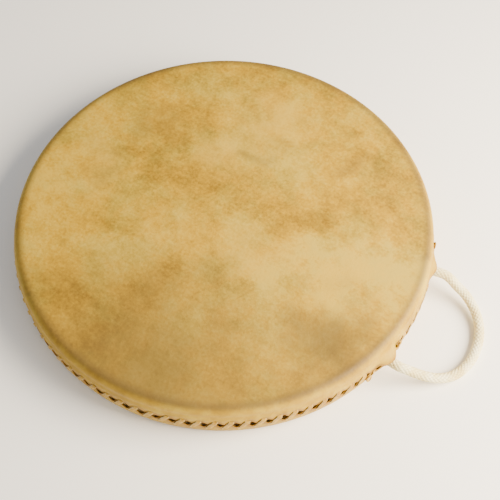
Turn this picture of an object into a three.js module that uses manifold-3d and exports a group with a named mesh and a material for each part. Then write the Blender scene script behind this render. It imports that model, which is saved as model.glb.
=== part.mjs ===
// A two-headed rawhide hand drum: a steam-bent wooden hoop, a rawhide head over each side, one flat
// rawhide thong whipped round the middle of the rim to draw the two heads together, and a braided
// rope carrying loop that leaves through the seam and is knotted inside the hoop.
// Millimetres, +Z up. The origin is the centre of the face that the drum lies on, and the carrying
// loop points along +X.
import * as THREE from 'three';
import { mergeVertices } from 'three/addons/utils/BufferGeometryUtils.js';
import Module from 'manifold-3d';

// Driving dimensions
const DEPTH = 48;
const SEAM_RADIUS = 201;
const WALL_RADIUS = 199.5;
const SKIN = 1.0;
const GAP = 0.3;
const SHOULDER = 8;
const SHOULDER_STEPS = 3;
const SEAM_OPENING = 6;
const LIP_HEIGHT = 6;
const HOOP_THICKNESS = 9;
const HOOP_INNER_BEVEL = 2.2;

const STITCHES_PER_TURN = 90;
const THONG_WIDTH = 4;
const THONG_THICKNESS = 1.2;
const STITCH_REACH = 6.5;
const STITCH_LEAN = 0.25;
const HANDLE_STITCHES = 5;
const SKIPPED_STITCHES = 2;
const THONG_HOLE = { width: 6, height: 2, depth: 4 };
const THONG_KNOT = { out: 1.4, round: 2.6, up: 2.2 };

const ROPE_DIAMETER = 9;
const ROPE_SIDES = 10;
const ROPE_EXIT_DEG = 15;
const ROPE_HOLE_DIAMETER = 10.8;
const ROPE_PIVOT_X = 208;
const STOPPER_KNOT = { out: 7, round: 10, up: 9 };

const SCARF_SLOPE_DEG = 17;
const SCARF_LENGTH = 44;
const TACK_HEIGHTS = [12, 24, 36];
const TACK = { shank: 0.8, head: 2.5, headHeight: 0.9, length: 7.5, bore: 1.1 };

// Worked out from them
const SEAM_Z = DEPTH / 2;
const HOOP_RADIUS = WALL_RADIUS - SKIN - GAP;
const HOOP_INNER = HOOP_RADIUS - HOOP_THICKNESS;
const SHOULDER_CENTRE_R = WALL_RADIUS - SHOULDER;
const SHOULDER_CENTRE_Z = DEPTH - SHOULDER;
const LIP_EDGE_Z = SEAM_Z + SEAM_OPENING / 2;
const PITCH = THREE.MathUtils.degToRad(360 / STITCHES_PER_TURN);
const ROPE_EXIT = THREE.MathUtils.degToRad(ROPE_EXIT_DEG);
const STITCH_MID_RADIUS = SEAM_RADIUS - SKIN / 2;
const STITCH_STAND_OFF = SKIN / 2 + GAP + THONG_THICKNESS / 2;

// The centreline of the carrying loop, from one pivot to the other. It leaves level, droops under
// its own weight and rests on the surface that the drum lies on.
const LOOP_ROUTE = [
  [208.0, 53.6, 24.0],
  [214.5, 53.2, 21.6],
  [222.0, 51.8, 17.4],
  [232.0, 49.6, 13.3],
  [243.0, 43.8, 9.2],
  [252.5, 34.2, 6.6],
  [259.0, 22.2, 5.2],
  [262.3, 8.2, 4.8],
  [262.4, -5.8, 4.8],
  [259.2, -19.6, 5.2],
  [252.6, -31.2, 6.6],
  [243.2, -39.9, 9.2],
  [232.6, -45.6, 13.2],
  [222.4, -49.2, 17.2],
  [215.0, -51.8, 21.5],
  [208.0, -53.6, 24.0],
];
const LOOP_STEPS = 30;

const wasm = await Module();
wasm.setup();

// Materials
const rawhide = new THREE.MeshStandardMaterial({ color: '#d2b070', roughness: 0.55, metalness: 0 });
const thongHide = new THREE.MeshStandardMaterial({ color: '#dcc492', roughness: 0.6, metalness: 0 });
const bentAsh = new THREE.MeshStandardMaterial({ color: '#c49a62', roughness: 0.6, metalness: 0 });
const cottonRope = new THREE.MeshStandardMaterial({ color: '#f2ecdc', roughness: 0.95, metalness: 0 });
const copper = new THREE.MeshStandardMaterial({ color: '#b87848', roughness: 0.4, metalness: 1 });

// Solids: a closed geometry becomes a manifold solid for a cut, and comes back as a geometry.
function toSolid(geometry) {
  const bare = geometry.clone();
  bare.deleteAttribute('normal');
  bare.deleteAttribute('uv');
  const merged = mergeVertices(bare, 1e-4);
  const vertProperties = new Float32Array(merged.attributes.position.array);
  const triVerts = new Uint32Array(merged.index.array);
  return new wasm.Manifold(new wasm.Mesh({ numProp: 3, vertProperties, triVerts }));
}

function toGeometry(solid) {
  const mesh = solid.getMesh();
  const geometry = new THREE.BufferGeometry();
  geometry.setAttribute('position', new THREE.BufferAttribute(new Float32Array(mesh.vertProperties), 3));
  geometry.setIndex(new THREE.BufferAttribute(new Uint32Array(mesh.triVerts), 1));
  geometry.computeVertexNormals();
  return geometry;
}

function cut(geometry, tools) {
  let solid = toSolid(geometry);
  for (const tool of tools) {
    solid = solid.subtract(toSolid(tool));
  }
  return toGeometry(solid);
}

const drum = new THREE.Group();

function addPart(name, geometry, material) {
  const part = new THREE.Mesh(geometry, material);
  part.name = name;
  drum.add(part);
  return part;
}

// A profile of [radius, height] points, turned about +Z with a facet edge at the angle startAngle.
function turned(points, startAngle, segments = STITCHES_PER_TURN) {
  const profile = points.map(([radius, height]) => new THREE.Vector2(radius, height));
  return new THREE.LatheGeometry(profile, segments, startAngle + Math.PI / 2).rotateX(Math.PI / 2);
}

// A tool or piece made along +X is swung to an angle round the drum's axis.
function swungTo(geometry, angle) {
  return geometry.rotateZ(angle);
}

// The quarter-round shoulder between the side wall and the playing face, as [radius, height] points
// from the wall up to the face.
function shoulder(radius) {
  const points = [];
  for (let i = 0; i <= SHOULDER_STEPS; i += 1) {
    const a = (i / SHOULDER_STEPS) * (Math.PI / 2);
    points.push([SHOULDER_CENTRE_R + radius * Math.cos(a), SHOULDER_CENTRE_Z + radius * Math.sin(a)]);
  }
  return points;
}

// The hoop: one strip bent to a ring and closed with a glued scarf, with both bearing edges rounded.
function hoopGeometry() {
  const crown = shoulder(SHOULDER - SKIN - GAP);
  const top = crown[crown.length - 1][1];
  const upperHalf = [
    ...crown,
    [HOOP_INNER + HOOP_INNER_BEVEL, top],
    [HOOP_INNER, top - HOOP_INNER_BEVEL],
  ];
  const lowerHalf = upperHalf.map(([r, z]) => [r, DEPTH - z]).reverse();
  const ring = turned([...upperHalf, ...lowerHalf, upperHalf[0]], PITCH / 4);
  return cut(ring, [ropeBore(ROPE_EXIT), ropeBore(-ROPE_EXIT), scarfCut(), ...TACK_HEIGHTS.map(tackBore)]);
}

function ropeBore(angle) {
  const bore = new THREE.CylinderGeometry(ROPE_HOLE_DIAMETER / 2, ROPE_HOLE_DIAMETER / 2, 40, 20);
  return swungTo(bore.rotateZ(Math.PI / 2).translate(HOOP_RADIUS, 0, SEAM_Z), angle);
}

function scarfCut() {
  const glueLine = new THREE.BoxGeometry(SCARF_LENGTH, GAP, DEPTH + 2);
  glueLine.rotateZ(Math.PI / 2 + THREE.MathUtils.degToRad(SCARF_SLOPE_DEG));
  return glueLine.translate(-(HOOP_RADIUS + HOOP_INNER) / 2, 0, SEAM_Z);
}

function tackBore(height) {
  const bore = new THREE.CylinderGeometry(TACK.bore, TACK.bore, TACK.length + 2, 8);
  return bore.rotateZ(Math.PI / 2).translate(-(HOOP_INNER + TACK.length / 2), 0, height);
}

// A tack driven outwards through the scarf, its flat head inside the hoop.
function tackGeometry(height) {
  const facetDepth = HOOP_INNER * (1 - Math.cos(PITCH / 2));
  const headFace = HOOP_INNER - facetDepth - GAP;
  const profile = [
    [0, 0],
    [TACK.head, 0],
    [TACK.head, TACK.headHeight],
    [TACK.shank, TACK.headHeight],
    [TACK.shank, TACK.headHeight + TACK.length - 1.5],
    [0, TACK.headHeight + TACK.length],
  ];
  const tack = turned(profile, 0, 12).rotateY(-Math.PI / 2);
  return tack.translate(-(headFace - TACK.headHeight), 0, height);
}

// A head: a rawhide disc pulled over the bearing edge, its skirt standing off the hoop at the seam
// so that the thong can run behind it. The holes sit in the middle of the facets.
function upperHeadProfile() {
  const lip = [
    [SEAM_RADIUS, LIP_EDGE_Z],
    [SEAM_RADIUS, LIP_EDGE_Z + LIP_HEIGHT],
  ];
  const outside = [...lip, ...shoulder(SHOULDER), [0, DEPTH]];
  const insideLip = lip.map(([r, z]) => [r - SKIN, z]);
  const inside = [...insideLip, ...shoulder(SHOULDER - SKIN), [0, DEPTH - SKIN]];
  return [...inside.reverse(), ...outside];
}

function stitchTurns() {
  const firstHandle = -(HANDLE_STITCHES + 1) / 2;
  const lastHandle = (HANDLE_STITCHES - 1) / 2;
  const firstMain = lastHandle + 1 + SKIPPED_STITCHES;
  const lastMain = STITCHES_PER_TURN + firstHandle - 1 - SKIPPED_STITCHES;
  return { handle: [firstHandle, lastHandle], main: [firstMain, lastMain] };
}

function thongHoles(z, phase) {
  const tools = [];
  for (const [first, last] of Object.values(stitchTurns())) {
    for (let n = first; n <= last; n += 1) {
      const hole = new THREE.BoxGeometry(THONG_HOLE.depth, THONG_HOLE.width, THONG_HOLE.height);
      tools.push(swungTo(hole.translate(STITCH_MID_RADIUS, 0, z), (n + phase) * PITCH));
    }
  }
  return tools;
}

function headGeometry(isUpper) {
  const phase = isUpper ? STITCH_LEAN : 1 - STITCH_LEAN;
  const holeZ = SEAM_Z + (isUpper ? STITCH_REACH : -STITCH_REACH);
  const profile = upperHeadProfile();
  const points = isUpper ? profile : profile.map(([r, z]) => [r, DEPTH - z]).reverse();
  const skin = turned(points, (phase + 0.5) * PITCH);
  return cut(skin, [...thongHoles(holeZ, phase), ropeBore(ROPE_EXIT), ropeBore(-ROPE_EXIT)]);
}

// The thong's line: an outer run that leans across the seam, a step in through the upper hole, a back
// run between the skirts and the hoop, and a step out through the next lower hole. A turn of the stitch
// has four corners, as [stand-off, rise, place round the rim in stitches].
const STITCH_CORNERS = [
  [1, 1, STITCH_LEAN],
  [-1, 1, STITCH_LEAN],
  [-1, -1, 1 - STITCH_LEAN],
  [1, -1, 1 - STITCH_LEAN],
];

class WhipStitch extends THREE.Curve {
  constructor(firstTurn, lastTurn) {
    super();
    this.firstTurn = firstTurn;
    this.steps = STITCH_CORNERS.length * (lastTurn - firstTurn + 1) - 1;
  }

  corner(index) {
    const turn = Math.floor(index / STITCH_CORNERS.length);
    const [out, rise, place] = STITCH_CORNERS[index - turn * STITCH_CORNERS.length];
    const angle = (this.firstTurn + turn + place) * PITCH;
    const outward = new THREE.Vector3(Math.cos(angle), Math.sin(angle), 0);
    return { out, rise, outward };
  }

  cornerPoint(index) {
    const { out, rise, outward } = this.corner(index);
    return outward.multiplyScalar(STITCH_MID_RADIUS + out * STITCH_STAND_OFF).setZ(SEAM_Z + rise * STITCH_REACH);
  }

  getPoint(t, target = new THREE.Vector3()) {
    const index = Math.min(Math.floor(t * this.steps + 1e-6), this.steps - 1);
    return target.lerpVectors(this.cornerPoint(index), this.cornerPoint(index + 1), t * this.steps - index);
  }

  getPointAt(t, target) {
    return this.getPoint(t, target);
  }

  // Frames that keep the thong's width along the rim. At a corner its thickness lies on the mitre
  // between the two runs, and both ends are cut square.
  computeFrenetFrames(segments) {
    const frames = { tangents: [], normals: [], binormals: [] };
    for (let i = 0; i <= segments; i += 1) {
      const { out, rise, outward } = this.corner(i);
      const isEnd = i === 0 || i === segments;
      frames.binormals.push(new THREE.Vector3(-outward.y, outward.x, 0));
      frames.normals.push(outward.clone().multiplyScalar(isEnd ? 0 : out).setZ(rise));
      frames.tangents.push(this.cornerPoint(Math.min(i + 1, segments)).sub(this.cornerPoint(i)).normalize());
    }
    return frames;
  }
}

function rectangle(width, height) {
  const outline = new THREE.Shape();
  outline.moveTo(-width / 2, -height / 2);
  outline.lineTo(width / 2, -height / 2);
  outline.lineTo(width / 2, height / 2);
  outline.lineTo(-width / 2, height / 2);
  outline.closePath();
  return outline;
}

function thongGeometry([first, last]) {
  const line = new WhipStitch(first, last);
  const section = rectangle(THONG_THICKNESS, THONG_WIDTH);
  return new THREE.ExtrudeGeometry(section, { steps: line.steps, extrudePath: line });
}

// The thong's ends are knotted outside the skin, in line with the last holes.
function thongKnotGeometry(place, rise) {
  const knot = new THREE.SphereGeometry(1, 12, 8);
  knot.rotateX(Math.PI / 2).scale(THONG_KNOT.out, THONG_KNOT.round, THONG_KNOT.up);
  const radius = STITCH_MID_RADIUS + STITCH_STAND_OFF + GAP + THONG_KNOT.out;
  return swungTo(knot.translate(radius, 0, SEAM_Z + rise * STITCH_REACH), place * PITCH);
}

// Rope
function ropeGeometry(points, steps) {
  const path = new THREE.CatmullRomCurve3(points.map((p) => new THREE.Vector3(...p)));
  const section = new THREE.Shape();
  for (let i = 0; i < ROPE_SIDES; i += 1) {
    const a = (i / ROPE_SIDES) * 2 * Math.PI;
    const x = (ROPE_DIAMETER / 2) * Math.cos(a);
    const y = (ROPE_DIAMETER / 2) * Math.sin(a);
    if (i === 0) {
      section.moveTo(x, y);
    } else {
      section.lineTo(x, y);
    }
  }
  section.closePath();
  return new THREE.ExtrudeGeometry(section, { steps, extrudePath: path });
}

// The fixed end of the rope, from the stopper knot through the hoop and the seam to just short of
// the bend that the loop swings on.
function ropeTailGeometry(side) {
  const inner = HOOP_INNER + GAP / 2;
  const route = [
    [inner * Math.cos(ROPE_EXIT), side * inner * Math.sin(ROPE_EXIT), SEAM_Z],
    [SEAM_RADIUS * Math.cos(ROPE_EXIT), side * SEAM_RADIUS * Math.sin(ROPE_EXIT), SEAM_Z],
    [ROPE_PIVOT_X - ROPE_DIAMETER / 2 - GAP, side * LOOP_ROUTE[0][1], SEAM_Z],
  ];
  return ropeGeometry(route, 4);
}

function stopperKnotGeometry(side) {
  const facetDepth = HOOP_INNER * (1 - Math.cos(PITCH / 2));
  const knot = new THREE.SphereGeometry(1, 16, 12);
  knot.rotateX(Math.PI / 2).scale(STOPPER_KNOT.out, STOPPER_KNOT.round, STOPPER_KNOT.up);
  knot.translate(HOOP_INNER - facetDepth - GAP - STOPPER_KNOT.out, 0, SEAM_Z);
  return swungTo(knot, side * ROPE_EXIT);
}

// Assembly
addPart('hoop', hoopGeometry(), bentAsh);
TACK_HEIGHTS.forEach((height, i) => addPart(`scarf_tack_${i + 1}`, tackGeometry(height), copper));
addPart('upper_head', headGeometry(true), rawhide);
addPart('lower_head', headGeometry(false), rawhide);

const turns = stitchTurns();
addPart('main_lacing', thongGeometry(turns.main), thongHide);
addPart('handle_lacing', thongGeometry(turns.handle), thongHide);
const thongEnds = Object.values(turns).flatMap(([first, last]) => [
  [first + STITCH_LEAN, 1],
  [last + 1 - STITCH_LEAN, -1],
]);
thongEnds.forEach(([place, rise], i) => {
  addPart(`lacing_knot_${i + 1}`, thongKnotGeometry(place, rise), thongHide);
});

addPart('handle_rope', ropeGeometry(LOOP_ROUTE, LOOP_STEPS), cottonRope);
addPart('rope_tail_left', ropeTailGeometry(1), cottonRope);
addPart('rope_tail_right', ropeTailGeometry(-1), cottonRope);
addPart('stopper_knot_left', stopperKnotGeometry(1), cottonRope);
addPart('stopper_knot_right', stopperKnotGeometry(-1), cottonRope);

export default drum;
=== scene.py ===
# %% [markdown]
# # A hand drum with two rawhide heads
# The drum is a bent-wood hoop with a rawhide head over each side. One flat thong, whipped round the
# middle of the rim, draws the two heads together, and a braided cotton rope leaves through the seam
# as a carrying loop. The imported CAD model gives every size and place. This lesson makes the skins,
# the thong, the rope and the knots that cover it, and gives each surface its material.

# %% The fixed frame
import math

import bpy
import numpy as np
from mathutils import Matrix, Vector


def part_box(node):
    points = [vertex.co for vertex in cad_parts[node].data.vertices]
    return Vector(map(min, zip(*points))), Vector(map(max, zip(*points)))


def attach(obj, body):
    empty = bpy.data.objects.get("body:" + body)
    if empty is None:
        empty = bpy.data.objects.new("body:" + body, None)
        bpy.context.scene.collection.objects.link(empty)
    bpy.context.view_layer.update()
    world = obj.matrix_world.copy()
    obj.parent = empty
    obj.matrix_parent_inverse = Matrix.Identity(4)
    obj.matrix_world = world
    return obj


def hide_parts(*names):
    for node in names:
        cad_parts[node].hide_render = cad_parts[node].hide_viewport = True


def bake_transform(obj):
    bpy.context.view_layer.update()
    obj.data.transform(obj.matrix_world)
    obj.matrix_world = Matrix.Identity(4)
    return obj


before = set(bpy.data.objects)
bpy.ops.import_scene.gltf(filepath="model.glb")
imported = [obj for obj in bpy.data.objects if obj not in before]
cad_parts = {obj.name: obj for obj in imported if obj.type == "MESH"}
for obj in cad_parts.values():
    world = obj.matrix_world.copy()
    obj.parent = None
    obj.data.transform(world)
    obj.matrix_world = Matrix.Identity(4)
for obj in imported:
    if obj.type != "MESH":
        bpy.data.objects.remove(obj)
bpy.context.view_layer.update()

MM = 0.001

# %% [markdown]
# ## Sizes
# The skins follow the CAD heads, so their radius, height and seam are read from the frame. What
# only the skin's own shape needs, such as how far a seam opens between two stitches, is set where
# it is used.

# %% Driving sizes
SEAM_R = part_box("upper_head")[1].y
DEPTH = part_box("upper_head")[1].z
HOOP_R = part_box("hoop")[1].y
SEAM_Z = DEPTH / 2
WALL_R = SEAM_R - 1.5 * MM
SHOULDER = 8 * MM
SKIN = 1.0 * MM
HOOP_INNER_R = HOOP_R - 9 * MM
STITCHES = 90
PITCH = 2 * math.pi / STITCHES
ROPE_ANGLE = math.radians(15)
ROPE_D = 9 * MM
UP = np.array([0, 0, 1.0])

# %% [markdown]
# ## The camera
# The viewer stands over the drum and looks down at it steeply, with the carrying loop to the lower
# right. A camera is a place and three axes: right, up, and back towards the viewer. They are built
# from the azimuth, the elevation and a small roll, and the drum sits a little off the middle.

# %% Camera
AZIMUTH, ELEVATION, ROLL = math.radians(28.02), math.radians(58.97), math.radians(-0.49)
CAMERA_DISTANCE = 855.2 * MM
CAMERA_RIGHT, CAMERA_DOWN = 24.7 * MM, 33.9 * MM
SENSOR, FOCAL_SHARE = 36.0, 1.8

level = Vector((math.cos(AZIMUTH), math.sin(AZIMUTH), 0))
back = Vector((math.sin(AZIMUTH) * math.cos(ELEVATION), -math.cos(AZIMUTH) * math.cos(ELEVATION),
               math.sin(ELEVATION)))
upright = back.cross(level)
right = level * math.cos(ROLL) - upright * math.sin(ROLL)
up = level * math.sin(ROLL) + upright * math.cos(ROLL)
place = Vector((0, 0, DEPTH)) + back * CAMERA_DISTANCE + level * CAMERA_RIGHT - upright * CAMERA_DOWN
camera_data = bpy.data.cameras.new("camera")
camera_data.sensor_width = SENSOR
camera_data.lens = SENSOR * FOCAL_SHARE
camera = bpy.data.objects.new("camera", camera_data)
camera.matrix_world = Matrix.Translation(place) @ Matrix((right, up, back)).transposed().to_4x4()
bpy.context.scene.collection.objects.link(camera)
bpy.context.scene.camera = camera
print("camera at", [round(x, 3) for x in place])

# %% [markdown]
# ## Surfaces from arrays
# Every new piece is a grid: rows of points along one parameter, columns along the other, closed
# round in the columns. Each open end is shut with a fan of triangles to a single pole point. One
# function turns such a grid into a mesh, with its coordinates and any value that a material reads.

# %% Grid to mesh
def closed_grid(points, poles, outward=True):
    """Vertices and faces of a tube of points (rows, columns, 3), shut by a pole at each end.

    Quads join each row to the next, round all columns. With outward False, all faces are turned.
    """
    rows, columns = points.shape[:2]
    i, j = np.arange(rows - 1)[:, None], np.arange(columns)[None, :]
    j2 = (j + 1) % columns
    corners = np.broadcast_arrays(i * columns + j, i * columns + j2,
                                  (i + 1) * columns + j2, (i + 1) * columns + j)
    quads = np.stack(corners, -1).reshape(-1, 4)
    around = np.arange(columns)
    following = np.roll(around, -1)
    base = (rows - 1) * columns
    first = np.stack([following, around, np.full(columns, rows * columns)], -1)
    last = np.stack([base + around, base + following, np.full(columns, rows * columns + 1)], -1)
    triangles = np.vstack([first, last])
    if not outward:
        quads, triangles = quads[:, ::-1], triangles[:, ::-1]
    return np.vstack([points.reshape(-1, 3), poles]), quads, triangles


def mesh_object(name, points, quads, triangles, uv=None, values=None):
    """A smooth-shaded object from arrays. uv is per vertex or per corner, values are per vertex."""
    mesh = bpy.data.meshes.new(name)
    mesh.from_pydata(points.tolist(), [], quads.tolist() + triangles.tolist())
    mesh.polygons.foreach_set("use_smooth", np.ones(len(mesh.polygons), bool))
    if uv is not None:
        corner = np.zeros(len(mesh.loops), np.int32)
        mesh.loops.foreach_get("vertex_index", corner)
        flat = uv if len(uv) == len(corner) else uv[corner]
        mesh.uv_layers.new(name="surface").uv.foreach_set("vector", flat.astype(np.float32).ravel())
    for key, value in (values or {}).items():
        mesh.attributes.new(key, "FLOAT", "POINT").data.foreach_set("value", value.astype(np.float32))
    obj = bpy.data.objects.new(name, mesh)
    bpy.context.scene.collection.objects.link(obj)
    print(name, len(points), "points,", len(mesh.polygons), "faces")
    return obj


# %% [markdown]
# ## Lines and sweeps
# A rope or a thong is a section carried along a line. The line is a smooth curve through a few
# chosen points, cut again at even steps. The frame that carries the section keeps one axis as close
# as it can to a given direction, so a flat thong stays flat and a rope doesn't twist.

# %% Smooth lines
def smooth_line(points, step, span_steps=40):
    """Centripetal Catmull-Rom curve through the points, cut at even arc length.

    The first three columns are the place, and any further columns are carried along with it.
    """
    p = np.asarray(points, float)
    p = np.vstack([2 * p[0] - p[1], p, 2 * p[-1] - p[-2]])
    gap = np.sqrt(np.linalg.norm(np.diff(p[:, :3], axis=0), axis=1))
    t = np.concatenate([[0], np.cumsum(gap)])
    k = np.repeat(np.arange(1, len(p) - 2), span_steps)
    x = t[k] + (t[k + 1] - t[k]) * np.tile(np.arange(span_steps) / span_steps, len(p) - 3)

    def between(a, b, ta, tb):
        return a * ((tb - x) / (tb - ta))[:, None] + b * ((x - ta) / (tb - ta))[:, None]

    p0, p1, p2, p3 = p[k - 1], p[k], p[k + 1], p[k + 2]
    t0, t1, t2, t3 = t[k - 1], t[k], t[k + 1], t[k + 2]
    a1, a2, a3 = between(p0, p1, t0, t1), between(p1, p2, t1, t2), between(p2, p3, t2, t3)
    b1, b2 = between(a1, a2, t0, t2), between(a2, a3, t1, t3)
    line = np.vstack([between(b1, b2, t1, t2), p[-2]])
    along = np.concatenate([[0], np.cumsum(np.linalg.norm(np.diff(line[:, :3], axis=0), axis=1))])
    even = np.linspace(0, along[-1], max(2, round(along[-1] / step)) + 1)
    return np.stack([np.interp(even, along, column) for column in line.T], -1), even


def unit(vectors):
    """Each vector divided by its length."""
    return vectors / np.linalg.norm(vectors, axis=-1, keepdims=True)


def sweep_frames(line, keep):
    """Side and lift at each point: side is the direction to keep crossed with the tangent."""
    tangent = unit(np.gradient(line, axis=0))
    side = unit(np.cross(keep, tangent))
    return side, np.cross(tangent, side)


def rim_axes(angle):
    """Outward and along-the-rim directions at each angle round the drum."""
    c, s, zero = np.cos(angle), np.sin(angle), 0 * angle
    return np.stack([c, s, zero], -1), np.stack([-s, c, zero], -1)


# %% [markdown]
# ## The rope's line
# The handle is one braided cotton rope. It starts at a stopper knot inside the hoop, comes out
# through the seam, droops to the surface that the drum lies on, and goes back in at the other exit.
# It is short and held at both ends, so a smooth curve through listed points gives its shape without a
# simulation.

# %% The rope's line
LOOP_ROUTE = np.array([
    (208.0, 53.6, 24.0), (214.5, 53.2, 21.6), (222.0, 51.8, 17.4), (232.0, 49.6, 13.3),
    (243.0, 43.8, 9.2), (252.5, 34.2, 6.6), (259.0, 22.2, 5.2), (262.3, 8.2, 4.8),
    (262.4, -5.8, 4.8), (259.2, -19.6, 5.2), (252.6, -31.2, 6.6), (243.2, -39.9, 9.2),
    (232.6, -45.6, 13.2), (222.4, -49.2, 17.2), (215.0, -51.8, 21.5), (208.0, -53.6, 24.0),
]) * MM


def exit_point(radius, side):
    """A point on the level line through the seam at a rope exit, at that radius."""
    return np.array([radius * math.cos(ROPE_ANGLE), side * radius * math.sin(ROPE_ANGLE), SEAM_Z])


TAIL_START_R, SEAM_INSIDE_R = HOOP_INNER_R - 2 * MM, SEAM_R - 4 * MM
rope_points = np.vstack([
    exit_point(TAIL_START_R, 1), exit_point(SEAM_INSIDE_R, 1), LOOP_ROUTE,
    exit_point(SEAM_INSIDE_R, -1), exit_point(TAIL_START_R, -1),
])
rope_line, rope_along = smooth_line(rope_points, 0.35 * MM)
print("rope", round(rope_along[-1], 4), "m long,", len(rope_line), "steps")

# %% [markdown]
# ## The braid
# A round braid is two families of strands that wind round a core, one to each hand, and pass over
# and under each other. Sixteen swept tubes could make it, but a single surface whose height is the
# higher of the two strands at each place is lighter, closed, and bends with the handle.

# %% Braid height
CARRIERS, LAY = 8, 34 * MM
RIB_HEIGHT, WEAVE_HEIGHT = 0.75 * MM, 0.38 * MM
RIB_SHARPNESS = 1.9


def braid_height(along, around, carriers, lay):
    """Height of a braid in rib heights below its ribs' tops, and which family is on top.

    Strand numbers run p = carriers * (angle/turn + along/lay) one way and q = carriers *
    (angle/turn - along/lay) the other. Each strand is an oval rib that rises and falls as a cosine
    along itself, up where the sum of the two strand numbers is even for one family and odd for the
    other. The surface is the higher of the two.
    """
    p = carriers * (around / (2 * math.pi) + along / lay)
    q = carriers * (around / (2 * math.pi) - along / lay)
    i, j = np.round(p), np.round(q)
    rib_p = np.sqrt(np.clip(1 - (RIB_SHARPNESS * (p - i)) ** 2, 0, 1))
    rib_q = np.sqrt(np.clip(1 - (RIB_SHARPNESS * (q - j)) ** 2, 0, 1))
    rise = WEAVE_HEIGHT / RIB_HEIGHT
    height_p = rib_p + rise * np.cos(math.pi * (q + i))
    height_q = rib_q - rise * np.cos(math.pi * (p + j))
    return np.maximum(height_p, height_q) - 1, height_p > height_q, p, q


def braid_uv(along, columns, corners, carriers, lay):
    """Corner coordinates of the quads: v runs across the strand that is on top, u along it."""
    step = 2 * math.pi / columns
    row, column = corners[:, 0] // columns, corners[:, 0] % columns
    middle = (along[row] + along[row + 1]) / 2
    _, on_top, p_mid, q_mid = braid_height(middle, (column + 0.5) * step, carriers, lay)
    corner_angle = (column[:, None] + np.array([0, 1, 1, 0])) * step
    _, _, p, q = braid_height(along[corners // columns], corner_angle, carriers, lay)
    top = on_top[:, None]
    u = np.where(top, q, p)
    v = np.where(top, p - np.round(p_mid)[:, None], q - np.round(q_mid)[:, None])
    return np.stack([u, v], -1).reshape(-1, 2)


# %% Braided tube
def braided_tube(name, line, along, keep, diameter, columns=84):
    """A closed tube round the line, whose radius is half the diameter plus the braid's height."""
    side, lift = sweep_frames(line, keep)
    angle = np.arange(columns) * 2 * math.pi / columns
    height = RIB_HEIGHT * braid_height(along[:, None], angle[None, :], CARRIERS, LAY)[0]
    around = (np.cos(angle)[None, :, None] * side[:, None, :]
              + np.sin(angle)[None, :, None] * lift[:, None, :])
    points = line[:, None, :] + (diameter / 2 + height)[..., None] * around
    flat, quads, triangles = closed_grid(points, line[[0, -1]])
    uv = np.vstack([braid_uv(along, columns, quads, CARRIERS, LAY), np.zeros((triangles.size, 2))])
    return mesh_object(name, flat, quads, triangles, uv)


TRIM = 0.25 * MM
BRAID_D = ROPE_D - TRIM
handle_rope = braided_tube("handle_rope_braid", rope_line, rope_along, UP, BRAID_D)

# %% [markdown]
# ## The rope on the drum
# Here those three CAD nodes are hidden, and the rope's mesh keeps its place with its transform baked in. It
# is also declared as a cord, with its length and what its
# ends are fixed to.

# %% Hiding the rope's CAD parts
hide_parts("handle_rope", "rope_tail_left", "rope_tail_right")
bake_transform(handle_rope)

# %% [markdown]
# ## The stopper knots
# Inside the hoop, each end of the rope is tied in a knot drawn down hard, so that it can't pull out.
# Nothing shows of it on a finished drum. A drawn knot is a ball of wraps that pass over and under
# each other, so it is made as one: an egg round the rope's axis whose height is the braid formula
# again, with three thick wraps in place of eight fine strands.

# %% The knots
WRAPS, WRAP_LAY, WRAP_HEIGHT = 3, 1.5, 2.4 * MM
KNOT_HALF = np.array([7.2, 10.4, 9.6]) * MM


def stopper_knot(name, node, side, rows=61, columns=120):
    """An egg with its poles on the rope's axis, at the middle of its CAD solid.

    A point is the sine of the latitude times the half length, and its cosine times the two half
    widths. The wraps' height fades with the root of that cosine, so the poles stay smooth.
    """
    outward = unit(exit_point(1.0, side) - UP * SEAM_Z)
    along_rim = np.cross(UP, outward)
    low, high = np.array(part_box(node)[0]), np.array(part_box(node)[1])
    centre = (low + high) / 2
    latitude = np.linspace(-math.pi / 2, math.pi / 2, rows + 2)[1:-1]
    angle = np.arange(columns) * 2 * math.pi / columns
    half = KNOT_HALF
    share = latitude / math.pi + 0.5
    height = WRAP_HEIGHT * braid_height(share[:, None], angle[None, :], WRAPS, WRAP_LAY)[0]
    grow = 1 + height * np.cos(latitude)[:, None] ** 0.5 / half[2]
    ring = (np.sin(latitude)[:, None, None] * half[0] * outward
            + np.cos(latitude)[:, None, None] * (np.cos(angle)[None, :, None] * half[1] * along_rim
                                                 + np.sin(angle)[None, :, None] * half[2] * UP))
    poles = centre + np.array([-1, 1])[:, None] * half[0] * outward
    flat, quads, triangles = closed_grid(centre + grow[..., None] * ring, poles)
    uv = braid_uv(share, columns, quads, WRAPS, WRAP_LAY)
    uv = np.vstack([uv, np.zeros((triangles.size, 2))])
    return mesh_object(name, flat, quads, triangles, uv)


stopper_knots = []
for label, side in (("left", 1), ("right", -1)):
    knot = stopper_knot(f"stopper_knot_{label}_wraps", f"stopper_knot_{label}", side)
    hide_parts(f"stopper_knot_{label}")
    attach(knot, "drum")
    stopper_knots.append(knot)

# %% [markdown]
# ## The heads
# A head is a wet rawhide disc drawn over the bearing edge. It dries drum-tight over the playing
# face, rounds the shoulder, and comes down the rim as a skirt. At each stitch the thong pinches the
# two skirts together, and between two stitches the seam gapes like an eye. A lathe can't make that,
# so the head is a surface of two parameters: the angle round the rim, and the way out from the
# middle, over the shoulder, down to the lip, round it and back inside.

# %% Waves and steps
rng = np.random.default_rng(7)


def rim_noise(angle, harmonics, amplitude):
    """A smooth random wave round the rim: a sum of sines with whole periods and fixed seeds."""
    k = np.asarray(harmonics)
    weight = rng.normal(size=len(k))
    weight = amplitude * weight / np.linalg.norm(weight) * math.sqrt(2)
    phase = rng.uniform(0, 2 * math.pi, len(k))
    return (weight * np.sin(angle[..., None] * k + phase)).sum(-1)


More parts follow.
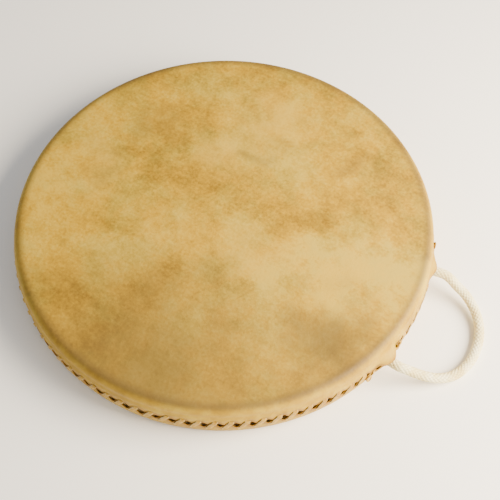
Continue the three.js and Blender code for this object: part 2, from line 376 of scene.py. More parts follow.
def smoothstep(x):
    """0 below 0, 1 above 1, and a cubic between."""
    x = np.clip(x, 0, 1)
    return x * x * (3 - 2 * x)


def angle_away(angle, centre):
    """How far an angle is from a centre, the short way round."""
    return np.abs((angle - centre + math.pi) % (2 * math.pi) - math.pi)


# %% How the seam opens
ANGLES = np.arange(STITCHES * 12) * PITCH / 12
EYE_HALF, PINCH_HALF = 4.9 * MM, 0.45 * MM
EXITS = (ROPE_ANGLE, -ROPE_ANGLE)
EYE_VARIES = rim_noise(ANGLES, range(3, 40), 0.15)
LIP_VARIES = rim_noise(ANGLES, range(11, 150, 3), 0.25 * MM)


def seam_half_opening(angle):
    """Half the seam's gap: an eye, sine to the fourth, between two stitches, shut at each stitch.

    At a rope exit it opens to the rope's own radius instead.
    """
    eye = np.sin(angle / PITCH * math.pi) ** 4
    opening = PINCH_HALF + (EYE_HALF - PINCH_HALF) * eye * (1 + EYE_VARIES)
    for centre in EXITS:
        share = np.cos(np.clip(angle_away(angle, centre) / (1.1 * PITCH), 0, 1) * math.pi / 2) ** 2
        opening = opening * (1 - share) + (ROPE_D / 2 + 0.6 * MM) * share
    return opening


OPENING = seam_half_opening(ANGLES)
print("the seam opens", round(OPENING.min() / MM, 1), "to", round(OPENING.max() / MM, 1), "mm each way")

# %% [markdown]
# The skirt's radius carries the rest of the rim's relief. It flares a little towards the seam, sinks
# where a stitch pulls it in and bulges between two stitches, dips at each thong hole, and stands out
# over the rope like the hood of a sleeve, because the rope is far thicker than the seam's gap.

# %% The skirt's relief
SHOULDER_R, SHOULDER_Z = WALL_R - SHOULDER, DEPTH - SHOULDER
FLARE_FOOT_Z = SEAM_Z + 9 * MM
PUCKER = 0.5 * MM
HOLE_RISE, HOLE_PLACE = 6.6 * MM, 0.25
HOLE_DIP, HOLE_SPREAD = 0.7 * MM, 2.2 * MM
HOOD_WIDTH = 1.25 * PITCH
UPPER_HOODS, LOWER_HOODS = (5 * MM, 8 * MM), (2.5 * MM, 3 * MM)


def skirt_radius(angle, z, hoods, hole_place):
    """Outer radius of the skirt: wall, flare, puckers, dips at the holes, and a hood at each exit.

    The puckers are a cosine round the rim that fades up the wall. A dip is a bell curve round its
    hole. A hood is a squared cosine round the rim times a smooth step down the wall.
    """
    flare = (SEAM_R - WALL_R) * smoothstep((SHOULDER_Z - z) / (SHOULDER_Z - FLARE_FOOT_Z))
    low = smoothstep((SHOULDER_Z - 1 * MM - z) / (SHOULDER_Z - SEAM_Z)) ** 1.5
    puckers = (PUCKER * -np.cos(angle / PITCH * 2 * math.pi) + LIP_VARIES) * low
    across = ((angle / PITCH - hole_place + 0.5) % 1 - 0.5) * PITCH * SEAM_R
    dip = HOLE_DIP * np.exp(-(across ** 2 + (z - SEAM_Z - HOLE_RISE) ** 2) / HOLE_SPREAD ** 2)
    radius = WALL_R + flare + puckers - dip
    for centre, reach in zip(EXITS, hoods):
        share = np.cos(np.clip(angle_away(angle, centre) / HOOD_WIDTH, 0, 1) * math.pi / 2) ** 2
        radius = radius + reach * share * smoothstep((SEAM_Z + 15 * MM - z) / (9 * MM))
    return radius


def face_height(radius, angle):
    """Height of the playing face: level, with shallow hollows a tenth of a millimetre deep."""
    x, y = radius * np.cos(angle), radius * np.sin(angle)
    hollow = np.sin(31 * x + 1.3) * np.sin(27 * y + 0.4) + 0.6 * np.sin(55 * x - 40 * y)
    fade = 1 - smoothstep((radius / SHOULDER_R - 0.8) / 0.2)
    return DEPTH - 0.1 * MM * (1.6 + hollow) * fade / 1.6


# %% [markdown]
# The head is then a stack of rings. They run from the middle of the face, over the shoulder's
# quarter circle, down the skirt to the lip, round the lip's edge, and back up the inside, one skin
# thickness in. The inner side is never seen, so its rings are fewer. The lower head is the same
# surface mirrored.

# %% The head's rings
def shoulder_ring(bend, turn):
    """A ring on the shoulder's quarter circle, whose radius is the bend."""
    flat = np.ones_like(ANGLES)
    return (SHOULDER_R + bend * math.sin(turn)) * flat, (SHOULDER_Z + bend * math.cos(turn)) * flat


def head_rings(hoods, hole_place):
    """Radius and height of every ring, from the pole out, over the lip, and back to a pole."""
    face_r = np.array([0.12, 0.28, 0.44, 0.58, 0.70, 0.80, 0.88, 0.94, 0.98]) * SHOULDER_R
    turn = np.linspace(0, math.pi / 2, 9)
    drop = np.linspace(0, 1, 22)[1:]
    lip_z = SEAM_Z + OPENING
    flat = np.ones_like(ANGLES)
    rings = [(r * flat, face_height(r, ANGLES)) for r in face_r]
    rings += [shoulder_ring(SHOULDER, a) for a in turn]
    skirt_z = [SHOULDER_Z + (lip_z - SHOULDER_Z) * d for d in drop]
    rings += [(skirt_radius(ANGLES, z, hoods, hole_place), z) for z in skirt_z]
    lip_r = rings[-1][0]
    rings += [(lip_r - 0.25 * SKIN, lip_z - 0.25 * SKIN), (lip_r - 0.75 * SKIN, lip_z - 0.25 * SKIN)]
    rings += [(skirt_radius(ANGLES, z, hoods, hole_place) - SKIN, z) for z in skirt_z[::-2]]
    rings += [shoulder_ring(SHOULDER - SKIN, a) for a in turn[::-2]]
    rings += [(r * flat, face_height(r, ANGLES) - SKIN) for r in face_r[::-3]]
    return np.array([r for r, _ in rings]), np.array([z for _, z in rings])


# %% The two heads
def head_object(name, hoods, lower):
    """The upper head, or its mirror image below the seam with its faces turned back outwards.

    Three values go with it: skirt runs from 0 on the face to 1 on the wall, bearing is a bell curve
    over the shoulder's inner half, which the material darkens for the rub and as painted shade, and
    edge rises to 1 at the lip and all over the two hoods, whose darkening is painted shade.
    """
    radius, height = head_rings(hoods, 1 - HOLE_PLACE if lower else HOLE_PLACE)
    points = np.stack([radius * np.cos(ANGLES), radius * np.sin(ANGLES), height], -1)
    poles = np.array([[0, 0, face_height(0, 0)], [0, 0, face_height(0, 0) - SKIN]])
    skirt = smoothstep((radius - WALL_R + 4.5 * MM) / (4.5 * MM))
    bearing = np.exp(-((radius - WALL_R + 6 * MM) / (4 * MM)) ** 2)
    # The hoods' share of edge makes the material darker there: a painted shade.
    hood_shade = sum(1 - smoothstep(angle_away(ANGLES, centre) / PITCH) for centre in EXITS)
    hood_shade = hood_shade * smoothstep((SEAM_Z + 12 * MM - height) / (6 * MM))
    edge = np.maximum(smoothstep(1 - (height - SEAM_Z - OPENING) / (7 * MM)), hood_shade) * skirt
    if lower:
        points[..., 2], poles[:, 2] = DEPTH - points[..., 2], DEPTH - poles[:, 2]
    flat, quads, triangles = closed_grid(points, poles, outward=lower)
    values = {"skirt": skirt, "bearing": bearing, "edge": edge}
    values = {key: np.append(value.ravel(), [0, 0]) for key, value in values.items()}
    return mesh_object(name, flat, quads, triangles, values=values)


upper_skin = head_object("upper_head_skin", UPPER_HOODS, lower=False)
lower_skin = head_object("lower_head_skin", LOWER_HOODS, lower=True)
for skin, node in ((upper_skin, "upper_head"), (lower_skin, "lower_head")):
    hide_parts(node)
    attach(skin, "drum")

# %% [markdown]
# ## The thong
# The thong is one flat strip of the same hide. Outside, it crosses the seam at a slant, goes in
# through a hole in the upper skirt, runs down behind both skirts, and comes out through the next
# hole below. A helix would show its back run through the eyes of the seam, where a real one is
# pulled tight behind the stitch. So one turn is set by ten points, repeated round the rim. Each has
# its place along the rim in stitches, how far it stands off the skirt's middle and its height in
# millimetres, and which way the strip's outer face looks: outwards or in, and up or down.

# %% The thong's line
STITCH_R = SEAM_R - SKIN / 2 - PUCKER
THONG_W, THONG_T = 4.4 * MM, 1.1 * MM
THONG_END_PROUD = 1.6
MAIN_TURNS, HANDLE_TURNS = (5, 84), (-3, 2)
STITCH_SHAPE = np.array([
    (-0.20, 1.45, -5.2, 1, -0.3), (0.00, 1.40, 0.0, 1, 0), (0.20, 1.45, 5.2, 1, 0.3),
    (0.25, 0.00, 6.6, 0, 1), (0.22, -1.20, 5.4, -1, 0.3), (0.06, -1.20, 0.0, -1, 0),
    (0.10, -1.20, -4.8, -1, -0.2), (0.40, -1.20, -8.6, -1, -0.2), (0.63, -1.20, -8.8, -1, -0.4),
    (0.75, 0.00, -6.6, 0, -1),
])
UPPER_HOLE = 3  # the row of the upper hole, where a thong starts


def stitch_points(shape_rows):
    """Place and facing of stitch points [place, stand-off, height, facing out, facing up]."""
    outward, _ = rim_axes(shape_rows[:, 0] * PITCH)
    points = outward * (STITCH_R + shape_rows[:, 1:2] * MM) + UP * (SEAM_Z + shape_rows[:, 2:3] * MM)
    return np.hstack([points, outward * shape_rows[:, 3:4] + UP * shape_rows[:, 4:5]])


def lacing_rows(first, last):
    """Stitch points of all turns, from just outside the first upper hole to the last lower one."""
    turns = np.arange(first, last + 1)
    rows = np.tile(STITCH_SHAPE, (len(turns), 1))
    rows[:, 0] += np.repeat(turns, len(STITCH_SHAPE))
    rows = rows[UPPER_HOLE:]
    outside = rows[[0, -1]] + np.array([0, THONG_END_PROUD, 0, 0, 0])
    return np.vstack([outside[:1], rows, outside[1:]])


# %% The thong's section
def flat_section(width, thickness, points=12):
    """A flat strip's section with round edges: a superellipse of power 4."""
    t = np.arange(points) * 2 * math.pi / points
    c, s = np.cos(t), np.sin(t)
    return width / 2 * np.sign(c) * np.abs(c) ** 0.5, thickness / 2 * np.sign(s) * np.abs(s) ** 0.5


def swept_strip(name, line, along, facing, width, thickness):
    """The flat section carried along the line, its flat side turned the way that facing says."""
    side, lift = sweep_frames(line, facing)
    w, t = flat_section(width, thickness)
    points = line[:, None, :] + w[None, :, None] * side[:, None, :] + t[None, :, None] * lift[:, None, :]
    flat, quads, triangles = closed_grid(points, line[[0, -1]])
    uv = np.stack(np.broadcast_arrays(along[:, None], w[None, :]), -1).reshape(-1, 2)
    return mesh_object(name, flat, quads, triangles, np.vstack([uv, uv[:1], uv[-1:]]))


def lacing(name, turns):
    """One thong, whipped over the seam for those turns."""
    line, along = smooth_line(stitch_points(lacing_rows(*turns)), 0.8 * MM, span_steps=16)
    print(name, "is", round(float(along[-1]), 2), "m long")
    return swept_strip(name, line[:, :3], along, line[:, 3:], THONG_W, THONG_T)


main_thong = lacing("main_lacing_thong", MAIN_TURNS)
handle_thong = lacing("handle_lacing_thong", HANDLE_TURNS)
for thong, node in ((main_thong, "main_lacing"), (handle_thong, "handle_lacing")):
    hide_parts(node)
    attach(thong, "drum")

# %% [markdown]
# ## The tied ends
# Each thong ends in a small bow outside its last hole: the strip rises in a bight, wraps across its
# own foot, tucks behind both legs and leaves a short tail. Its points are listed in millimetres, as
# [along the rim, outwards, away from the seam], and a tie below the seam is the mirror image of one
# above.

# %% The ties
TIE_SHAPE = np.array([
    (0.0, -0.8, 0.0), (0.0, 1.2, 0.2), (-1.6, 2.6, 1.6), (-2.2, 3.4, 4.6), (-0.3, 4.0, 7.0),
    (1.8, 3.8, 5.2), (2.2, 3.2, 2.2), (0.6, 3.5, -0.6), (-1.9, 3.6, -1.1), (-3.5, 2.6, 0.5),
    (-2.0, 1.6, 2.0), (1.2, 1.5, 2.4), (3.7, 2.2, 1.2), (4.8, 2.6, -1.6), (5.0, 2.0, -4.6),
])
TIE_W, TIE_T = 2.4 * MM, 1.1 * MM


def tied_end(name, place, rise, proud):
    """A bow at a hole: the tie's points carried to that place, with their stand-off times proud."""
    outward, along_rim = rim_axes(np.array(place * PITCH))
    hole = outward * STITCH_R + UP * (SEAM_Z + rise * HOLE_RISE)
    points = hole + (TIE_SHAPE @ np.array([along_rim, proud * outward, rise * UP])) * MM
    line, along = smooth_line(points, 0.4 * MM)
    facing = np.broadcast_to(outward + 0.2 * along_rim, line.shape)
    return swept_strip(name, line, along, facing, TIE_W, TIE_T)


ties = [
    tied_end("thong_tie_1", HANDLE_TURNS[0] + HOLE_PLACE, 1, proud=1.1),
    tied_end("thong_tie_2", HANDLE_TURNS[1] + 1 - HOLE_PLACE, -1, proud=0.6),
    tied_end("thong_tie_3", MAIN_TURNS[0] + HOLE_PLACE, 1, proud=0.45),
    tied_end("thong_tie_4", MAIN_TURNS[1] + 1 - HOLE_PLACE, -1, proud=0.6),
]
for number, tie in enumerate(ties, 1):
    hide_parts(f"lacing_knot_{number}")
    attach(tie, "drum")

# %% [markdown]
# ## Materials
# Each material is a small tree of nodes that reads the piece's own place (Object coordinates, in
# metres), its UV map, or the values stored with its mesh. So a pattern's scale is one over its size
# in metres. One function turns an sRGB hex colour to the linear values of a shader, and one adds a
# node with its settings, links and colour stops.

# %% Helpers for materials
def colour(hex_text):
    """sRGB hex to the linear values that a shader takes."""
    srgb = np.array([int(hex_text[i:i + 2], 16) for i in (1, 3, 5)]) / 255
    linear = np.where(srgb <= 0.04045, srgb / 12.92, ((srgb + 0.055) / 1.055) ** 2.4)
    return (*linear.tolist(), 1.0)


def new_material(name, **constants):
    """A material with its tree and shader; constants are set on the shader's own sockets."""
    material = bpy.data.materials.new(name)
    material.use_nodes = True
    shader = material.node_tree.nodes["Principled BSDF"]
    for socket, value in constants.items():
        shader.inputs[socket.replace("_", " ")].default_value = value
    return material, material.node_tree, shader


def add(tree, kind, links=(), stops=(), **settings):
    """Adds a node with its settings.

    links pair an input with a value, an output, or a node, which stands for its first output. stops
    fill a colour ramp with positions and hex colours.
    """
    node = tree.nodes.new(kind)
    for key, value in settings.items():
        setattr(node, key, value)
    for socket, source in links:
        if isinstance(source, bpy.types.Node):
            source = source.outputs[0]
        if isinstance(source, bpy.types.NodeSocket):
            tree.links.new(source, node.inputs[socket])
        else:
            node.inputs[socket].default_value = source
    for number, (position, tone) in enumerate(stops):
        if number >= len(node.color_ramp.elements):
            node.color_ramp.elements.new(1.0)
        node.color_ramp.elements[number].position = position
        node.color_ramp.elements[number].color = colour(tone)
    return node


def mixed(tree, factor, first, second, blend_type="MIX"):
    """The colour output of a mix: the first colour goes over to the second with the factor."""
    node = add(tree, "ShaderNodeMix", [(0, factor), (6, first), (7, second)], data_type="RGBA",
               blend_type=blend_type)
    return node.outputs[2]


def weighted_sum(tree, *parts):
    """Adds up outputs, each times its weight."""
    total = 0.0
    for output, weight in parts:
        total = add(tree, "ShaderNodeMath", [(0, output), (1, weight), (2, total)],
                    operation="MULTIPLY_ADD")
    return total


def finish_shader(tree, shader, tone, height, depth, strength, rough=None):
    """Links colour, bump and, where it varies, roughness to the shader."""
    bump = add(tree, "ShaderNodeBump", [("Height", height), ("Distance", depth), ("Strength", strength)])
    tree.links.new(bump.outputs[0], shader.inputs["Normal"])
    tree.links.new(tone, shader.inputs["Base Color"])
    if rough is not None:
        tree.links.new(rough.outputs[0], shader.inputs["Roughness"])


# %% [markdown]
# ## Rawhide
# The heads are scraped, air-dried goat hide: no tanning, no dye. To the eye that gives a dull satin
# face of golden tan, olive where fat and lime stayed in the skin, with a lighter stripe along the
# animal's backbone, fine hair streaks that follow it, and pores. A darker line over the shoulder
# stands for the bearing edge's rub and also paints the shade where the shoulder turns away. The
# skirt takes a clearer yellow of its own, and its cut edge is darker; the hoods over the rope are
# painted darker as shade. The marks of one skin are a short list of soft patches, each with a place
# and a radius in millimetres and a strength, because noise alone spreads them too evenly. The two
# broadest dark patches are painted shade on the face's side towards -y, not marks.

# %% Marks in a skin
SPINE_TURN, SPINE_SIDE = math.radians(9.6), -27 * MM
BLOOMS = [(-11, 124, 58, 0.9), (-28, 70, 50, 0.9), (40, -20, 40, 0.6), (-135, -8, 44, 0.8)]
# The last two smudges, broad and strong, are painted shade on the face's side towards -y; the others are
# dark marks in the skin.
SMUDGES_AND_SHADE = [
    (0, 78, 26, 0.4), (-112, 57, 40, 0.3), (84, 102, 26, 0.4), (37, -110, 30, 0.45),
    (186, 42, 17, 0.6), (145, -85, 85, 0.8), (20, -185, 190, 0.75),
]


def mark_amount(tree, where, marks):
    """The greatest of several soft round marks: its strength at the middle, 0 at its radius."""
    total = 0.0
    for x, y, radius, strength in marks:
        far = add(tree, "ShaderNodeVectorMath", [(0, where), (1, (x * MM, y * MM, 0))],
                  operation="DISTANCE").outputs["Value"]
        mark = add(tree, "ShaderNodeMapRange",
                   [("Value", far), ("From Min", radius * MM), ("From Max", 0.0), ("To Max", strength)],
                   interpolation_type="SMOOTHSTEP")
        total = add(tree, "ShaderNodeMath", [(0, mark), (1, total)], operation="MAXIMUM")
    return total


# %% [markdown]
# The hide's pattern is a sum of noises at the sizes that skin has: clouds 85 mm across, blotches of
# 19 mm, hair streaks 22 mm long and a quarter as wide, and pores. Real pores are 0.2 mm, too fine to
# show, so they are drawn at 2.6 mm. A slow noise bends the backbone's stripe and the marks, so that
# none of them is straight or round.

# %% The hide's pattern
def hide_pattern(tree, where, spine_turn):
    """Outputs of the noises, the place bent by a slow noise, and their sum as one shade."""
    cloud = add(tree, "ShaderNodeTexNoise", [("Vector", where), ("Scale", 1 / 0.085), ("Detail", 4.0),
                                             ("Roughness", 0.6), ("Distortion", 0.6)])
    blotch = add(tree, "ShaderNodeTexNoise", [("Vector", where), ("Scale", 1 / 0.019), ("Detail", 6.0),
                                              ("Roughness", 0.68)])
    pore = add(tree, "ShaderNodeTexNoise", [("Vector", where), ("Scale", 1 / 0.0026), ("Detail", 3.0)])
    wander = add(tree, "ShaderNodeTexNoise", [("Vector", where), ("Scale", 1 / 0.04), ("Detail", 5.0)])
    offset = add(tree, "ShaderNodeVectorMath", [(0, wander.outputs["Color"]), (1, (0.5, 0.5, 0.5))],
                 operation="SUBTRACT")
    level_place = add(tree, "ShaderNodeVectorMath", [(0, where), (1, (1, 1, 0))], operation="MULTIPLY")
    bent = add(tree, "ShaderNodeVectorMath", [(0, offset), (1, (0.11, 0.11, 0)), (2, level_place)],
               operation="MULTIPLY_ADD")
    by_spine = add(tree, "ShaderNodeMapping", [("Vector", bent), ("Rotation", (0, 0, -spine_turn))])
    across = add(tree, "ShaderNodeSeparateXYZ", [("Vector", by_spine)]).outputs["Y"]
    off_spine = add(tree, "ShaderNodeMath", [(0, across), (1, SPINE_SIDE)], operation="SUBTRACT")
    off_spine = add(tree, "ShaderNodeMath", [(0, off_spine)], operation="ABSOLUTE")
    spine = add(tree, "ShaderNodeMapRange",
                [("Value", off_spine), ("From Min", 52 * MM), ("From Max", 0.0)],
                interpolation_type="SMOOTHSTEP")
    hair_place = add(tree, "ShaderNodeMapping", [("Vector", where), ("Rotation", (0, 0, -spine_turn)),
                                                 ("Scale", (1, 4, 1))])
    hair = add(tree, "ShaderNodeTexNoise", [("Vector", hair_place), ("Scale", 1 / 0.022), ("Detail", 6.0),
                                            ("Roughness", 0.7)])
    shade = weighted_sum(tree, (cloud, 0.45), (blotch, 0.25), (hair, 0.12), (pore, 0.20), (spine, 0.08))
    return cloud, blotch, hair, pore, bent, shade


# %% Rawhide heads
def rawhide_head(name, spine_turn, blooms, smudges_and_shade):
    material, tree, shader = new_material(name, Specular_IOR_Level=0.2)
    where = add(tree, "ShaderNodeTexCoord").outputs["Object"]
    cloud, blotch, hair, pore, bent, shade = hide_pattern(tree, where, spine_turn)
    face = add(tree, "ShaderNodeValToRGB", [("Fac", shade)],
               stops=[(0.39, "#7b5c14"), (0.47, "#997615"), (0.53, "#ad8717"), (0.62, "#bd9c30")])
    fat = add(tree, "ShaderNodeTexNoise", [("Vector", where), ("Scale", 1 / 0.05), ("Detail", 5.0),
                                           ("Roughness", 0.65), ("Lacunarity", 2.3)])
    greyed = add(tree, "ShaderNodeMapRange", [("Value", fat), ("From Min", 0.40), ("From Max", 0.64),
                                              ("To Max", 0.6)], interpolation_type="SMOOTHSTEP")
    olive = add(tree, "ShaderNodeValToRGB", [("Fac", shade)],
                stops=[(0.39, "#6a5c21"), (0.47, "#857426"), (0.53, "#9a872d"), (0.62, "#af9a40")])
    face_tone = mixed(tree, greyed, face.outputs["Color"], olive.outputs["Color"])
    bloom = add(tree, "ShaderNodeMath", [(0, mark_amount(tree, bent, blooms)), (1, blotch)],
                operation="MULTIPLY")
    smudge_and_shade = mark_amount(tree, bent, smudges_and_shade)
    tone = mixed(tree, bloom, face_tone, colour("#bd9934"))
    # Smudges darken the tone towards #675126: the small ones are marks, the two broad ones are painted
    # shade.
    tone = mixed(tree, smudge_and_shade, tone, colour("#675126"))
    # A darker ring over the shoulder's inner half: the bearing edge's rub, and painted shade where the
    # shoulder turns away.
    rub_and_shoulder_shade = add(tree, "ShaderNodeAttribute", attribute_name="bearing").outputs["Fac"]
    rub_and_shoulder_shade = add(tree, "ShaderNodeMath", [(0, rub_and_shoulder_shade), (1, 0.6)], operation="MULTIPLY")
    tone = mixed(tree, rub_and_shoulder_shade, tone, colour("#5c4a2a"))

    skirt = add(tree, "ShaderNodeAttribute", attribute_name="skirt").outputs["Fac"]
    edge = add(tree, "ShaderNodeAttribute", attribute_name="edge").outputs["Fac"]
    wall_shade = weighted_sum(tree, (blotch, 0.6), (cloud, 0.4))
    wall = add(tree, "ShaderNodeValToRGB", [("Fac", wall_shade)],
               stops=[(0.38, "#95720f"), (0.50, "#ad891b"), (0.62, "#bea136")])
    tone = mixed(tree, skirt, tone, wall.outputs["Color"])
    # Darker at the lip's cut edge, and over the hoods, where the darkening is painted shade.
    edge_wear_and_hood_shade = add(tree, "ShaderNodeMath", [(0, edge), (1, 0.75)], operation="MULTIPLY")
    tone = mixed(tree, edge_wear_and_hood_shade, tone, colour("#855715"))

    height = weighted_sum(tree, (pore, 0.5), (blotch, 0.8), (hair, 0.4))
    rough = add(tree, "ShaderNodeMapRange", [("Value", blotch), ("From Min", 0.3), ("From Max", 0.7),
                                             ("To Min", 0.44), ("To Max", 0.60)])
    finish_shader(tree, shader, tone, height, 0.7 * MM, 0.55, rough)
    return material


# %% [markdown]
# ## Thong
# The thong is cut from the same hide and stretched wet, so its fibres run along it and its two
# edges stay pale and raw. Its UV map gives the length and the place across the strip, both in
# metres.

# %% Rawhide thong
def rawhide_thong(name):
    material, tree, shader = new_material(name, Roughness=0.55, Specular_IOR_Level=0.25)
    along = add(tree, "ShaderNodeUVMap", uv_map="surface")
    where = add(tree, "ShaderNodeTexCoord").outputs["Object"]
    stretched = add(tree, "ShaderNodeMapping", [("Vector", along), ("Scale", (1, 9, 1))])
    fibre = add(tree, "ShaderNodeTexNoise",
                [("Vector", stretched), ("Scale", 1 / 0.006), ("Detail", 4.0)])
    patch = add(tree, "ShaderNodeTexNoise", [("Vector", where), ("Scale", 1 / 0.018), ("Detail", 3.0)])
    shade = weighted_sum(tree, (fibre, 0.55), (patch, 0.45))
    hide = add(tree, "ShaderNodeValToRGB", [("Fac", shade)],
               stops=[(0.36, "#976d1b"), (0.50, "#ad872b"), (0.64, "#bd9c48")])
    side = add(tree, "ShaderNodeSeparateXYZ", [("Vector", along)]).outputs["Y"]
    side = add(tree, "ShaderNodeMath", [(0, side)], operation="ABSOLUTE")
    raw_edge = add(tree, "ShaderNodeMapRange",
                   [("Value", side), ("From Min", 1.2 * MM), ("From Max", 2.2 * MM), ("To Max", 0.6)],
                   interpolation_type="SMOOTHSTEP")
    tone = mixed(tree, raw_edge, hide.outputs["Color"], colour("#c9b888"))
    finish_shader(tree, shader, tone, fibre, 0.3 * MM, 0.5)
    return material


# %% [markdown]
# ## Cotton
# The rope is undyed braided cotton. Each strand is a bundle of twisted yarns, so it looks matt and
# warm white, with fine lines along the strand and loose fibres. The hollows between strands are
# painted tan, a painted shade. The real yarns are 0.3 mm thick, too fine to show, so they are drawn
# 0.6 mm thick.

# %% Braided cotton
YARNS_PER_STRAND = 5


def braided_cotton(name):
    material, tree, shader = new_material(name, Roughness=0.92, IOR=1.5)
    strand = add(tree, "ShaderNodeUVMap", uv_map="surface")
    where = add(tree, "ShaderNodeTexCoord").outputs["Object"]
    axes = add(tree, "ShaderNodeSeparateXYZ", [("Vector", strand)])
    off_middle = add(tree, "ShaderNodeMath", [(0, axes.outputs["Y"])], operation="ABSOLUTE")
    hollow = add(tree, "ShaderNodeMapRange",
                 [("Value", off_middle), ("From Min", 0.30), ("From Max", 0.54)],
                 interpolation_type="SMOOTHSTEP")
    twist = weighted_sum(tree, (axes.outputs["Y"], YARNS_PER_STRAND), (axes.outputs["X"], 1.5))
    wave = add(tree, "ShaderNodeMath", [(0, twist), (1, 2 * math.pi)], operation="MULTIPLY")
    yarn = add(tree, "ShaderNodeMath", [(0, wave)], operation="SINE")
    fibre = add(tree, "ShaderNodeTexNoise", [("Vector", where), ("Scale", 1 / 0.0007), ("Detail", 3.0)])
    soil = add(tree, "ShaderNodeTexNoise", [("Vector", where), ("Scale", 1 / 0.014), ("Detail", 3.0)])
    cotton_tone = add(tree, "ShaderNodeValToRGB", [("Fac", soil)],
                stops=[(0.35, "#e4d293"), (0.50, "#f3e8b6"), (0.65, "#fbf5d0")])
    # The hollows between strands are darkened to tan: a painted shade.
    hollow_shade = add(tree, "ShaderNodeMath", [(0, hollow), (1, 0.75)], operation="MULTIPLY")
    tone = mixed(tree, hollow_shade, cotton_tone.outputs["Color"], colour("#a58649"))
    height = weighted_sum(tree, (yarn, 0.25), (fibre, 1.0))
    finish_shader(tree, shader, tone, height, 0.25 * MM, 0.6)
    return material


# %% [markdown]
# ## Ash wood
# The hoop is a strip of ash, steam-bent and left bare. It shows only through the eyes of the seam.
# Its brown is darker than bare ash, which paints part of the shade in those eyes. Its grain runs
# round the hoop, so the pattern reads the angle round the drum, slowed down, and the radius and the
# height at full speed.

# %% Steam-bent ash
def bent_ash(name):
    material, tree, shader = new_material(name, Roughness=0.62)
    where = add(tree, "ShaderNodeTexCoord").outputs["Object"]
    axes = add(tree, "ShaderNodeSeparateXYZ", [("Vector", where)])
    level_place = add(tree, "ShaderNodeVectorMath", [(0, where), (1, (1, 1, 0))], operation="MULTIPLY")
    radius = add(tree, "ShaderNodeVectorMath", [(0, level_place)], operation="LENGTH").outputs["Value"]
    angle = add(tree, "ShaderNodeMath", [(0, axes.outputs["Y"]), (1, axes.outputs["X"])],
                operation="ARCTAN2")
    slow = add(tree, "ShaderNodeMath", [(0, angle), (1, 0.008)], operation="MULTIPLY")
    grain_place = add(tree, "ShaderNodeCombineXYZ", [(0, slow), (1, radius), (2, axes.outputs["Z"])])
    ring = add(tree, "ShaderNodeTexNoise", [("Vector", grain_place), ("Scale", 1 / 0.0035), ("Detail", 5.0),
                                            ("Distortion", 0.4)])
    vessel = add(tree, "ShaderNodeTexNoise",
                 [("Vector", grain_place), ("Scale", 1 / 0.0008), ("Detail", 2.0)])
    shade = weighted_sum(tree, (ring, 0.7), (vessel, 0.3))
    # A darker brown than bare ash, which paints part of the shade in the eyes of the seam.
    wood = add(tree, "ShaderNodeValToRGB", [("Fac", shade)],
               stops=[(0.38, "#5c3d1c"), (0.50, "#865c2c"), (0.64, "#a4763c")])
    finish_shader(tree, shader, wood.outputs["Color"], shade, 0.4 * MM, 0.5)
    return material


# %% [markdown]
# ## Copper
# The three tacks that hold the hoop's scarf are copper: a metal, so its colour is in its reflection.
# Cut from wire and struck with a hammer, they are bright on the crown and brown in the dents.

# %% Copper tacks
def tarnished_copper(name):
    material, tree, shader = new_material(name, Metallic=1.0)
    where = add(tree, "ShaderNodeTexCoord").outputs["Object"]
    dent = add(tree, "ShaderNodeTexNoise", [("Vector", where), ("Scale", 1 / 0.0012), ("Detail", 4.0)])
    metal = add(tree, "ShaderNodeValToRGB", [("Fac", dent)], stops=[(0.36, "#6e3d22"), (0.55, "#c9805a")])
    rough = add(tree, "ShaderNodeMapRange", [("Value", dent), ("From Min", 0.35), ("From Max", 0.65),
                                             ("To Min", 0.55), ("To Max", 0.28)])
    finish_shader(tree, shader, metal.outputs["Color"], dent, 0.1 * MM, 0.4, rough)
    return material


# %% [markdown]
# ## Putting the materials on
# A new piece takes its material as its only slot. The hoop and its tacks keep their CAD meshes, and
# only their material is changed.

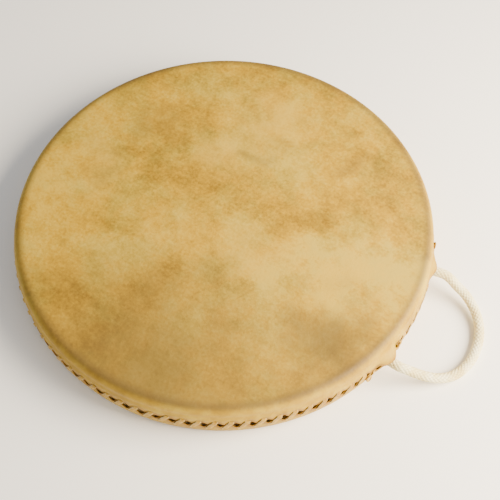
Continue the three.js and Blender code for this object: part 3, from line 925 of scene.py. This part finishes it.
# %% Assign
upper_hide = rawhide_head("rawhide_scraped_upper", SPINE_TURN, BLOOMS, SMUDGES_AND_SHADE)
lower_hide = rawhide_head("rawhide_scraped_lower", math.radians(74), BLOOMS[1:3], SMUDGES_AND_SHADE[:3])
thong_hide = rawhide_thong("rawhide_thong_stretched")
rope_cotton = braided_cotton("cotton_braided_undyed")
hoop_wood = bent_ash("ash_steam_bent")
tack_copper = tarnished_copper("copper_tack_tarnished")
finishes = [(upper_skin, upper_hide), (lower_skin, lower_hide)]
finishes += [(piece, rope_cotton) for piece in (handle_rope, *stopper_knots)]
finishes += [(strip, thong_hide) for strip in (main_thong, handle_thong, *ties)]
for piece, finish in finishes:
    piece.data.materials.append(finish)

CAD_FINISHES = {"hoop": hoop_wood, "scarf_tack": tack_copper}
for node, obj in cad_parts.items():
    for start, finish in CAD_FINISHES.items():
        if node.startswith(start):
            obj.data.materials.clear()
            obj.data.materials.append(finish)
            print(node, "is", finish.name)

# %% [markdown]
# ## Floor and light
# A wide pale floor, one large soft box close to the carrying loop's side, a weaker one further round
# towards the viewer, and a white surround. The near box stands low, so that it lights the rim more
# than the face, and its light fades across the face. The other one lifts the seam in front.

# %% Floor
floor_mesh = bpy.data.meshes.new("floor")
floor_mesh.from_pydata([(-6, -6, 0), (6, -6, 0), (6, 6, 0), (-6, 6, 0)], [], [(0, 1, 2, 3)])
floor = bpy.data.objects.new("floor", floor_mesh)
bpy.context.scene.collection.objects.link(floor)
floor_finish, _, floor_shader = new_material("white_floor", Roughness=0.9)
floor_shader.inputs["Base Color"].default_value = colour("#fbfaf8")
floor_mesh.materials.append(floor_finish)


# %% Lights
def area_light(name, azimuth, elevation, distance, size, power, tint="#ffffff"):
    """A square soft box that looks at the drum's middle from that direction."""
    a, e = math.radians(azimuth), math.radians(elevation)
    towards = Vector((math.sin(a) * math.cos(e), -math.cos(a) * math.cos(e), math.sin(e)))
    data = bpy.data.lights.new(name, "AREA")
    data.size = size
    data.energy = power
    data.color = colour(tint)[:3]
    light = bpy.data.objects.new(name, data)
    light.location = towards * distance
    light.rotation_euler = towards.to_track_quat("Z", "Y").to_euler()
    bpy.context.scene.collection.objects.link(light)


area_light("key", azimuth=105, elevation=36, distance=1.05, size=0.7, power=52, tint="#ffefd4")
area_light("fill", azimuth=70, elevation=22, distance=1.6, size=1.0, power=15, tint="#ffefd4")
world = bpy.data.worlds.new("studio")
world.use_nodes = True
world.node_tree.nodes["Background"].inputs["Color"].default_value = colour("#ffffff")
world.node_tree.nodes["Background"].inputs["Strength"].default_value = 0.57
bpy.context.scene.world = world
